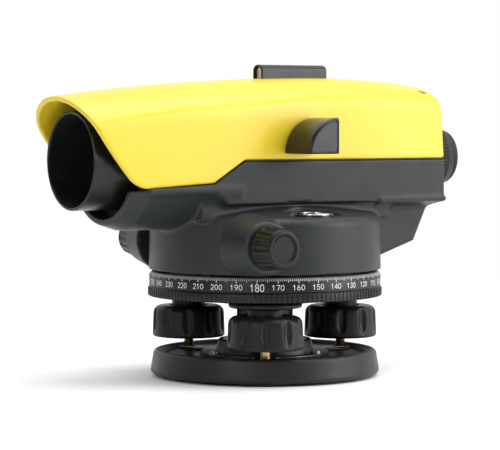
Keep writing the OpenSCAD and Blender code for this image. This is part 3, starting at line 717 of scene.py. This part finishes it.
def build_base():
    profile = rounded([(7.94, 0), (14, 0), (14, 1.1), (50.0, 1.1), (50.9, 2.4), (49.4, 11.7),
                       (45.6, 11.7), (44.5, DISH_Z), (22.4, DISH_Z), (20.4, 16.3), (7.94, 16.3)],
                      [0.3, 0.3, 0.2, 1.0, 1.6, 3.0, 2.0, 1.4, 1.2, 0.8, 0.4])

    def field(p):
        x, y, z = p
        r = np.sqrt(x * x + y * y)
        body = polygon_field(r, z, profile)
        angle = np.degrees(np.arctan2(y, x))
        pad = np.full(x.shape, 1e3)
        for azimuth in FEET.values():
            off = (angle - azimuth + 180) % 360 - 180
            side = (np.abs(off) - 14.3) * math.pi / 180 * r
            ring = np.maximum(33 - r, r - 48.8)
            pad = np.minimum(pad, round_corner(round_corner(side, ring, 2.0), np.maximum(-z, z - 3), 0.4))
        body = smooth_union(body, pad, 0.6)
        for key in FEET:
            cx, cy = foot_at(key)
            q = np.sqrt((x - cx) ** 2 + (y - cy) ** 2)
            ball = np.where(z < BALL_Z, np.sqrt(q * q + (z - BALL_Z) ** 2) - 3.9, q - 3.9)
            body = smooth_cut(body, ball, 0.3)
        return body

    obj = field_mesh("base_casting", field, (-51.1, -51.1, -0.1), (51.1, 51.1, 16.5), 0.75)
    stand_for(obj, "base_plate")


def helix_bulge(pitch, depth, start, end):
    def bulge(turn, r, along):
        phase = (along - start) / pitch - turn / (2 * math.pi)
        wave = np.abs((phase % 1.0) * 2 - 1)
        return np.where((along > start) & (along < end), -depth * wave, 0)
    return bulge


def foot_knob_field(cx, cy, azimuth):
    def field(p):
        x, y, z = p[0] - cx, p[1] - cy, p[2]
        outline = [(3.1, 15.4), (15.2, 15.4)] + arc(15.2, 16.5, 1.1, -90, 0, 4)[1:]
        outline += arc(12.6, 26.1, 3.3, 0, 90) + [(8.7, 29.4), (8.7, 21.6), (3.1, 21.6)]
        body = polygon_field(np.sqrt(x * x + y * y), z, outline) - 0.1
        gx, gy = nearest_flute(x, y, KNOB_FLUTES, math.radians(azimuth))
        gx = gx - 17.5
        # each flute ends in a ball below and widens upwards
        foot, narrow = 18.0, 1.4
        taper = np.clip((z - foot) / 4.0, 0, 1)
        groove = np.sqrt(gx * gx + gy * gy) - (narrow + 1.2 * np.sqrt(taper))
        groove = np.where(z < foot, np.sqrt(gx * gx + gy * gy + (z - foot) ** 2) - narrow, groove)
        return smooth_cut(body, groove, 0.6)
    return field


def build_feet():
    for key in FEET:
        cx, cy = foot_at(key)
        half = 16.6
        knob = field_mesh("foot_knob_grip_" + key, foot_knob_field(cx, cy, FOOT_AZ),
                          (cx - half, cy - half, 15.2), (cx + half, cy + half, 29.7), 0.5)
        stand_for(knob, "foot_knob_" + key, look=KNOB)
        thread = [(3.0, 18.2 + SCREW_PITCH / 6 * i) for i in range(148)]
        # screw C ends in its own ball, the other two stand on separate ones
        if key == "c":
            foot = [(max(a, PINHOLE), b) for a, b in arc(0, BALL_Z, BALL_R, -90, 54, 14)] + [(2.1, 10.2)]
        else:
            foot = [(PINHOLE, 10.7), (1.8, 10.7), (2.1, 11.0)]
        shank = [(2.1, 16.8), (2.4, 17.0), (3.0, 17.2)]
        outline = foot + shank + thread + [(2.6, 37.0), (PINHOLE, 37.0)]
        spindle = lathe("foot_screw_" + key, outline, centre=(cx, cy, 0), steps=48,
                        bulge=helix_bulge(SCREW_PITCH, 0.3, 18.0, 36.8), sharp=50)
        stand_for(spindle, "foot_spindle_" + key)
    balls = []
    for key in ("a", "b"):
        cx, cy = foot_at(key)
        outline = [(max(a, PINHOLE), b) for a, b in arc(0, BALL_Z, BALL_R, -90, 56, 16)]
        outline += [(1.9, 10.1), (1.7, 10.4), (PINHOLE, 10.4)]
        balls.append(lathe("ball_" + key, outline, centre=(cx, cy, 0), steps=48, sharp=50))
    balls[0].name = "foot_ball_ends"
    join(balls[0], balls[1:])
    stand_for(balls[0], "foot_balls")


def build_spring_plate():
    def field(p):
        x, y, z = p
        r = np.sqrt(x * x + y * y)
        body = r - 28.6
        for azimuth in FEET.values():
            u, v = turned_to(azimuth, x, y)
            arm = np.maximum(np.maximum(24 - u, u - FOOT_R), np.abs(v) - 4.6)
            eye = np.sqrt((u - FOOT_R) ** 2 + v * v) - 4.6
            body = smooth_union(body, np.minimum(arm, eye), 2.5)
        body = np.maximum(body, 22.5 - r)
        for key in FEET:
            cx, cy = foot_at(key)
            body = np.maximum(body, 3.2 - np.sqrt((x - cx) ** 2 + (y - cy) ** 2))
        return round_corner(body, slab(p, 2, DISH_Z, DISH_Z + 1), 0.2)

    obj = field_mesh("spring_plate_leaf", field, (-45, -45, 9.5), (45, 45, 10.7), 0.5)
    stand_for(obj, "spring_plate")


def build_tribrach():
    def field(p):
        x, y, z = p
        r = np.sqrt(x * x + y * y)
        plate = round_corner(r - 24, slab(p, 2, 32.8, 35), 0.5)
        for azimuth in FEET.values():
            u, v = turned_to(azimuth, x, y)
            lobe = round_corner(np.sqrt((u - 35.5) ** 2 + v * v) - 15.9, slab(p, 2, 32.8, 35), 1.0)
            plate = smooth_union(plate, lobe, 1.5)
            q = np.sqrt((u - FOOT_R) ** 2 + v * v)
            sleeve = round_corner(q - 7.6, slab(p, 2, 25, 38), 0.4)
            plate = smooth_union(plate, sleeve, 0.8)
        hub = round_corner(r - 12.5, slab(p, 2, 20.5, 34), 0.6)
        boss = round_corner(r - 18, slab(p, 2, 34, 47.4), 0.4)
        top = round_corner(r - 12, slab(p, 2, 46, 63.8), 0.4)
        body = smooth_join(1.0, plate, hub)
        body = np.minimum(np.minimum(body, boss), top)
        body = np.maximum(body, 8 - r)
        for key in FEET:
            cx, cy = foot_at(key)
            body = np.maximum(body, 5.5 - np.sqrt((x - cx) ** 2 + (y - cy) ** 2))
        return body

    obj = field_mesh("tribrach_casting", field, (-47, -47, 20.4), (52, 52, 64), 0.8)
    stand_for(obj, "tribrach_body", look=KNOB)


# ---------------------------------------------------------------- graduated circle

CIRCLE_Z = 35.6
RING_ZERO = -37.2       # where the figure 180 stands
FACE_TOP = 44.95
BEVEL_FROM = 45.2
BEVEL_FACES = (10, 11, 12)


def build_circle():
    teeth = 144
    foot = CIRCLE_Z
    grip_top = foot + 4.1

    def bulge(turn, r, along):
        wave = np.cos(turn * teeth)
        deep = np.clip((grip_top - along) / 0.5, 0, 1) * np.clip((r - 50) / 1.0, 0, 1)
        return -0.42 * deep * np.clip(1.0 - 1.6 * wave, 0, 1)

    outline = [(48.6, foot + 0.1), (51.4, foot + 0.05), (51.9, foot + 0.35), (52.0, foot + 0.8),
               (52.0, foot + 3.4), (51.8, foot + 3.8), (51.2, foot + 4.1), (51.05, foot + 4.3),
               (51.4, foot + 4.6), (51.4, FACE_TOP), (51.25, BEVEL_FROM), (50.2, 46.4),
               (49.9, 46.57), (49.4, 46.6), (48.7, 46.6), (48.6, 46.4)]
    ring = lathe("circle_graduated_ring", outline, steps=1152, bulge=bulge, sharp=35)
    ring.data.materials.append(CIRCLE)
    ring.data.materials.append(BAND)
    count = len(outline)
    for polygon in ring.data.polygons:
        if polygon.index % count in BEVEL_FACES:
            polygon.material_index = 1
    stand_for(ring, "circle_ring")


def oval(u, v, wide, tall, a, b, n):
    """Points on an oval about (u, v) from angle a to angle b."""
    turns = [math.radians(a + (b - a) * k / n) for k in range(n + 1)]
    return [(u + wide * math.cos(t), v + tall * math.sin(t)) for t in turns]


DIGITS = {
    "0": [oval(0.5, 0.5, 0.5, 0.5, 90, 450, 16)],
    "1": [[(0.12, 0.74), (0.5, 1.0), (0.5, 0.0)]],
    "2": [oval(0.5, 0.72, 0.46, 0.28, 165, -35, 8) + [(0.04, 0.0), (1.0, 0.0)]],
    "3": [oval(0.47, 0.76, 0.42, 0.24, 150, -90, 8), oval(0.47, 0.26, 0.5, 0.26, 90, -150, 8)],
    "4": [[(0.78, 0.0), (0.78, 1.0), (0.0, 0.3), (1.05, 0.3)]],
    "5": [[(0.9, 1.0), (0.16, 1.0), (0.1, 0.52)] + oval(0.46, 0.32, 0.5, 0.32, 130, -145, 9)],
    "6": [oval(0.5, 0.3, 0.48, 0.3, 0, 360, 12), [(0.05, 0.42), (0.2, 0.76), (0.66, 1.0)]],
    "7": [[(0.0, 1.0), (1.0, 1.0), (0.38, 0.0)]],
    "8": [oval(0.5, 0.76, 0.42, 0.24, 0, 360, 12), oval(0.5, 0.26, 0.5, 0.26, 0, 360, 12)],
    "9": [oval(0.5, 0.7, 0.48, 0.3, 0, 360, 12), [(0.95, 0.58), (0.8, 0.24), (0.34, 0.0)]],
}


class Strips:
    """Thin painted strips on a surface of revolution, gathered into one mesh."""

    def __init__(self):
        self.verts = []
        self.faces = []

    def quad_bar(self, a, b, width, place):
        """A bar from a to b in the flat (along the arc, up) plane, wrapped by place(s, z, lift)."""
        a, b = np.array(a, float), np.array(b, float)
        d = b - a
        length = np.linalg.norm(d)
        if length < 1e-6:
            return
        side = np.array([-d[1], d[0]]) / length * width / 2
        corners = [a + side, a - side, b - side, b + side]
        start = len(self.verts)
        for lift in (-0.06, 0.05):
            for c in corners:
                self.verts.append(place(c[0], c[1], lift))
        s = start
        self.faces += [(s + 4, s + 5, s + 6, s + 7), (s + 3, s + 2, s + 1, s), (s, s + 1, s + 5, s + 4),
                       (s + 1, s + 2, s + 6, s + 5), (s + 2, s + 3, s + 7, s + 6), (s + 3, s, s + 4, s + 7)]

    def path(self, points, width, place):
        for a, b in zip(points[:-1], points[1:]):
            d = np.array(b, float) - np.array(a, float)
            length = np.linalg.norm(d)
            if length > 1e-6:
                d = d / length * width * 0.3
                self.quad_bar(np.array(a) - d, np.array(b) + d, width, place)


def on_ring(centre_angle):
    def place(s, z, lift):
        r = ring_radius(z) + lift
        angle = math.radians(centre_angle) + s / r
        return (r * math.cos(angle), r * math.sin(angle), z)
    return place


def ring_radius(z):
    if z > BEVEL_FROM:
        return 51.25 - (z - BEVEL_FROM) * 0.875
    return 51.4 - 0.15 * max(0, (z - FACE_TOP) / 0.25)


def build_graduations():
    strips = Strips()
    for degree in range(360):
        place = on_ring(RING_ZERO - (degree - 180))
        low = 44.3 if degree % 10 == 0 else 44.6 if degree % 5 == 0 else 45.1
        width = 0.32 if degree % 10 == 0 else 0.24
        marks = sorted({low, FACE_TOP, BEVEL_FROM, 46.2})
        marks = [v for v in marks if v >= low]
        for a, b in zip(marks[:-1], marks[1:]):
            strips.quad_bar((0, a), (0, b), width, place)
        if degree % 10 == 0:
            label = str(degree)
            tall = 3.0 if degree % 90 == 0 else 2.15
            wide = tall * (0.5 if degree % 90 == 0 else 0.62)
            step = wide * 1.42
            base = 41.3 if degree % 90 else 40.75
            for i, digit in enumerate(label):
                left = (i - (len(label) - 1) / 2) * step - wide / 2
                for stroke in DIGITS[digit]:
                    points = [(left + wide * u, base + tall * v) for u, v in stroke]
                    strips.path(points, 0.27 if degree % 90 else 0.34, place)
    obj = make_mesh("circle_figures", strips.verts, strips.faces, smooth=False)
    go_with(obj, "circle", "index_white")


# ---------------------------------------------------------------- knobs of the drive and the focus

def drive_knob_field(p):
    """A drive knob on the +X side: slightly barrelled, with fine ribs and finger hollows."""
    x, y, z = p[0], p[1] - WORM_Y, p[2] - WORM_Z
    r = np.sqrt(y * y + z * z)
    outline = [(2.4, 50.5), (8.7, 50.5), (9.2, 51.0), (9.0, 54.0)] + arc(6.9, 60.7, 1.3, 8, 90, 5)
    outline += [(6.3, 62.0), (5.8, 61.2), (2.4, 61.2)]
    body = polygon_field(r, x, outline) - 0.15
    gx, gy = nearest_flute(y, z, DRIVE_RIBS)
    gx = gx - (9.75 - 0.09 * (x - 51))
    groove = np.sqrt(gx * gx + gy * gy) - 1.0
    reach = np.maximum(51.9 - x, x - 60.6)
    return smooth_cut(body, round_corner(groove, reach, 0.4), 0.4)


def build_drive_knobs():
    near, far, half = 50.2, 62.3, 9.5
    for name, side in (("left", 1), ("right", -1)):
        ends = (near, far) if side > 0 else (-far, -near)

        def field(p, s=side):
            q = (p[0] * s, p[1], p[2])
            core = np.sqrt((p[1] - WORM_Y) ** 2 + (p[2] - WORM_Z) ** 2) - 5.4
            cap = np.maximum(core, slab(q, 0, 60.4, 61.5))
            return np.minimum(drive_knob_field(q), cap)

        obj = field_mesh("tangent_knob_" + name, field, (ends[0], WORM_Y - half, WORM_Z - half),
                         (ends[1], WORM_Y + half, WORM_Z + half), 0.4)
        stand_for(obj, "drive_knob_" + name, look=KNOB)


def focus_knob_field(p):
    """The focusing knob on the -X side, with a recessed face and a grooved rim."""
    x, y, z = -p[0], p[1] - PINION_Y, p[2] - PINION_Z
    r = np.sqrt(y * y + z * z)
    outline = [(1.9, 30.6), (13.0, 30.6), (13.8, 31.4)] + arc(12.0, 43.2, 1.7, 0, 90, 6)
    outline += [(9.6, 44.9), (9.1, 44.2), (1.9, 44.2)]
    body = polygon_field(r, x, outline) - 0.12
    gx, gy = nearest_flute(y, z, FOCUS_RIBS)
    gx = gx - 14.6
    groove = np.sqrt(gx * gx + gy * gy) - 1.25
    reach = np.maximum(32.6 - x, x - 46)
    return smooth_cut(body, round_corner(groove, reach, 0.6), 0.5)


def build_focus_knob():
    half = 14.1
    obj = field_mesh("focusing_knob", focus_knob_field, (-45.1, PINION_Y - half, PINION_Z - half),
                     (-30.3, PINION_Y + half, PINION_Z + half), 0.5)
    stand_for(obj, "focus_knob", look=KNOB)


# ---------------------------------------------------------------- telescope

def build_telescope():
    bore = 19.6
    inner = []
    # light baffle threads inside the mouth
    y = -97.0
    while y < -70.6:
        inner += [(bore, y), (bore - 0.35, y + 0.35), (bore, y + 0.7)]
        y += 0.9
    outline = [(19.9, -98.0), (20.3, -98.2), (20.7, -98.15), (21.0, -97.8), (21.0, -52.2),
               (20.8, -52), (19.8, -52), (bore, -52.2), (bore, -66.2), (18.0, -66.2),
               (18.0, -70.0), (bore, -70.2)]
    outline += list(reversed(inner)) + [(19.65, -97.6)]
    tube = lathe("objective_barrel", outline, axis="y", centre=(0, 0, AXIS_Z), steps=160, sharp=30)
    tube.data.materials.append(ANODISED)
    tube.data.materials.append(BAFFLE)
    for polygon in tube.data.polygons:
        middle = polygon.center / MM
        inside = math.hypot(middle.x, middle.z - AXIS_Z) < 19.75 and middle.y > -97.9
        polygon.material_index = 1 if inside else 0
    stand_for(tube, "objective_tube")


def build_eyepiece():
    teeth = 60

    def bulge(turn, r, along):
        grip = np.clip((along - 85.0) / 0.6, 0, 1) * np.clip((92.0 - along) / 0.6, 0, 1) * (r > 14.6)
        wave = np.clip(0.5 - 0.9 * np.cos(turn * teeth), 0, 1)
        return -0.42 * grip * wave

    outline = [(12.4, 83.7), (13.9, 83.6), (14.7, 83.8), (15.1, 84.4), (15.2, 84.9), (15.2, 85.2),
               (15.2, 85.8), (15.2, 91.2), (15.2, 92.0), (15.05, 92.4), (14.6, 93.3), (13.9, 95.0),
               (13.2, 96.3), (12.3, 96.95), (10.9, 97.0), (10.66, 96.8), (10.66, 92.6), (12.4, 92.6)]
    ring = lathe("eyepiece_grip", outline, axis="y", centre=(0, 0, AXIS_Z), steps=480, bulge=bulge, sharp=40)
    stand_for(ring, "eyepiece_ring")
    lip = [(9.0, 97.0), (12.2, 97.0), (12.2, 99.4), (11.0, 99.4), (9.0, 98.3)]
    cup = lathe("eyecup_rubber", rounded(lip, 0.6), axis="y", centre=(0, 0, AXIS_Z), steps=96)
    stand_for(cup, "eyecup")


# ---------------------------------------------------------------- sight, circular level, mirror

def sight_arch(p, half, radius, soft):
    """The sight's section: straight sides under an arched roof."""
    arch = np.sqrt(p[0] * p[0] + (p[2] - SIGHT_ARC_Z) ** 2) - radius
    return smooth_both(np.abs(p[0]) - half, arch, soft)


def build_sight():
    def field(p):
        body = round_corner(sight_arch(p, 3.6, 4.85, 0.9), slab(p, 1, -4, 31), 0.35)
        body = np.maximum(body, 130.25 - p[2])
        hollow = np.maximum(sight_arch(p, 2.75, 4.0, 1.0), 131.1 - p[2])
        return smooth_cut(body, hollow, 0.25)

    obj = field_mesh("sight_tube", field, (-3.7, -4.1, 130.2), (3.7, 31.1, 137.8), 0.35)
    stand_for(obj, "optical_sight", look=GLOSS_BLACK)

    def panes(p):
        arch = np.maximum(sight_arch(p, 2.7, 3.95, 1.0), 131.2 - p[2])
        ends = np.minimum(slab(p, 1, -2.4, -1), slab(p, 1, 26.6, 28))
        return round_corner(arch, ends, 0.2)

    obj = field_mesh("sight_panes", panes, (-2.8, -2.5, 131.0), (2.8, 28.1, 136.9), 0.3)
    stand_for(obj, "sight_lenses", look=WINDOW)


HOOD_AT = (28.0, 7.5, 98.7)
HOOD_R = 15.6


def mirror_hood_field(p):
    """A quarter of a drum, hollow, open below and at the observer's side."""
    x, y, z = p[0] - HOOD_AT[0], p[1] - HOOD_AT[1], p[2] - HOOD_AT[2]
    disc = np.sqrt(y * y + z * z) - HOOD_R
    quarter = round_corner(round_corner(disc, y, 1.2), -z, 0.6)
    body = round_corner(quarter, np.maximum(-0.7 - x, x - 19.2), 1.1)
    # the flat side's face sits a little behind its rim
    face = round_corner(round_corner(disc + 1.3, y + 1.2, 1.2), 1.2 - z, 1.2)
    body = smooth_cut(body, np.maximum(face, 18.85 - x), 0.3)
    inner = np.maximum(disc + 1.6, np.maximum(0.8 - x, x - 17.8))
    return smooth_cut(body, inner, 0.4)


def build_mirror():
    low, high = node_box("mirror_hood")
    obj = field_mesh("mirror_cover", mirror_hood_field, low - 0.05, high + 0.05, 0.35)
    stand_for(obj, "mirror_hood", look=GLOSS_BLACK)


def build_vial():
    cx, cy = VIAL
    outline = [(5.7, 69.8), (5.7, 72.4), (8.0, 72.4), (8.0, 69.0), (PINHOLE, 69.0), (PINHOLE, 69.8)]
    cup = lathe("vial_housing", rounded(outline, [0, 0.2, 0.3, 0.3, 0, 0]), centre=(cx, cy, 0), steps=96)
    stand_for(cup, "vial_cup")
    outline = [(5.5, 72.4), (7.4, 72.4), (7.4, 73.0), (6.6, 73.4), (5.5, 73.4)]
    bezel = lathe("vial_ring", rounded(outline, [0, 0.1, 0.3, 0.4, 0.2]), centre=(cx, cy, 0), steps=96)
    stand_for(bezel, "vial_bezel")
    rim, rise = 5.45, 0.5
    dome = [(PINHOLE, 69.8), (rim, 69.8), (rim, 72.5)]
    for t in np.linspace(0.15, math.pi / 2 - 0.01, 8):
        dome.append((rim * math.cos(t), 72.5 + rise * math.sin(t)))
    glass = lathe("vial_window", dome, centre=(cx, cy, 0), steps=96)
    stand_for(glass, "vial_glass")
    target = lathe("vial_target", [(1.75, 72.99), (2.0, 72.98), (2.0, 73.02), (1.75, 73.03)],
                   centre=(cx, cy, 0), steps=64)
    go_with(target, "instrument", "gasket")


# ---------------------------------------------------------------- CAD pieces that stay

def finish_cad():
    widths = {"drive_wheel": 0.08, "worm_shaft": 0.05, "focus_pinion": 0.05, "focus_cell": 0.1}
    for name, obj in frame["nodes"].items():
        if obj.hide_render:
            continue
        paint(obj, ZINC if name == "cover_screws" else SLOT_LOOK[NODE_SLOT[name]])
        for polygon in obj.data.polygons:
            polygon.material_index = 0
        bevelled(obj, widths.get(name, 0.15))


# ---------------------------------------------------------------- floor, lights and camera

FLOOR_R = 0.62
BACKDROP = (-0.72, 0.62, 0.45)      # towards the middle of the white backdrop
VIEW_AZ, VIEW_PITCH = -33.2, 2.74   # the camera stands at this azimuth and looks down this much
VIEW_RANGE, VIEW_SIDE, VIEW_Z = 1.021, 0.00657, 0.1154


def build_stage():
    bpy.ops.mesh.primitive_circle_add(radius=FLOOR_R, vertices=128, fill_type="NGON", location=(0, 0, 0))
    floor = bpy.context.object
    floor.name = "floor"
    m = Nodes("floor")
    grain = m.noise(7, 4)
    colour = m.mix(m.span(grain, 0, 1), shade(0.9, 0.9, 0.9), shade(0.92, 0.92, 0.92))
    m.set(Base_Color=colour, Roughness=0.6)
    paint(floor, m.material)
    world = bpy.data.worlds.new("studio")
    bpy.context.scene.world = world
    world.use_nodes = True
    tree = world.node_tree
    background = tree.nodes["Background"]
    # a white backdrop behind and above the level, and a dim room on the side it is seen from
    place = tree.nodes.new("ShaderNodeTexCoord")
    facing = tree.nodes.new("ShaderNodeVectorMath")
    facing.operation = "DOT_PRODUCT"
    facing.inputs[1].default_value = BACKDROP
    level = tree.nodes.new("ShaderNodeMapRange")
    level.interpolation_type = "SMOOTHSTEP"
    level.inputs["From Min"].default_value = -0.35
    level.inputs["From Max"].default_value = 0.55
    level.inputs["To Min"].default_value = 0.25
    level.inputs["To Max"].default_value = 1.0
    tree.links.new(place.outputs["Generated"], facing.inputs[0])
    tree.links.new(facing.outputs["Value"], level.inputs["Value"])
    tree.links.new(level.outputs["Result"], background.inputs["Strength"])
    background.inputs["Color"].default_value = (1, 1, 1, 1)


def area_light(name, place, target, size, power):
    data = bpy.data.lights.new(name, "AREA")
    data.shape = "RECTANGLE"
    data.size, data.size_y = size
    data.energy = power
    obj = bpy.data.objects.new(name, data)
    bpy.context.scene.collection.objects.link(obj)
    obj.location = place
    obj.rotation_euler = (Vector(target) - Vector(place)).to_track_quat("-Z", "Y").to_euler()


def build_lights():
    middle = (0, 0, 0.08)
    area_light("top_softbox", (0.1, 0.1, 0.95), middle, (0.8, 0.8), 7)
    area_light("right_softbox", (0.75, 0.75, 0.45), middle, (0.8, 0.9), 11)
    area_light("front_fill", (0.6, -1.1, 0.5), middle, (0.6, 0.6), 4)


def build_camera():
    """A long lens level with the cover, a little in front of broadside on the circular level's side."""
    azimuth = math.radians(VIEW_AZ)
    toward = Vector((math.cos(azimuth), math.sin(azimuth), 0))
    right = Vector((-math.sin(azimuth), math.cos(azimuth), 0))
    data = bpy.data.cameras.new("camera")
    data.sensor_width = 36
    data.lens = 165.6
    data.clip_start = 0.05
    camera = bpy.data.objects.new("camera", data)
    bpy.context.scene.collection.objects.link(camera)
    camera.location = toward * VIEW_RANGE - right * VIEW_SIDE + Vector((0, 0, VIEW_Z))
    tip = math.radians(90 - VIEW_PITCH)
    camera.rotation_euler = (tip, 0, math.atan2(-toward.x, toward.y) + math.pi)
    bpy.context.scene.camera = camera


scene = bpy.context.scene
scene.view_settings.view_transform = "Standard"
build_cover()
build_housing()
build_base()
build_feet()
build_spring_plate()
build_tribrach()
build_circle()
build_graduations()
build_drive_knobs()
build_focus_knob()
build_telescope()
build_eyepiece()
build_sight()
build_mirror()
build_vial()
finish_cad()
build_stage()
build_lights()
build_camera()
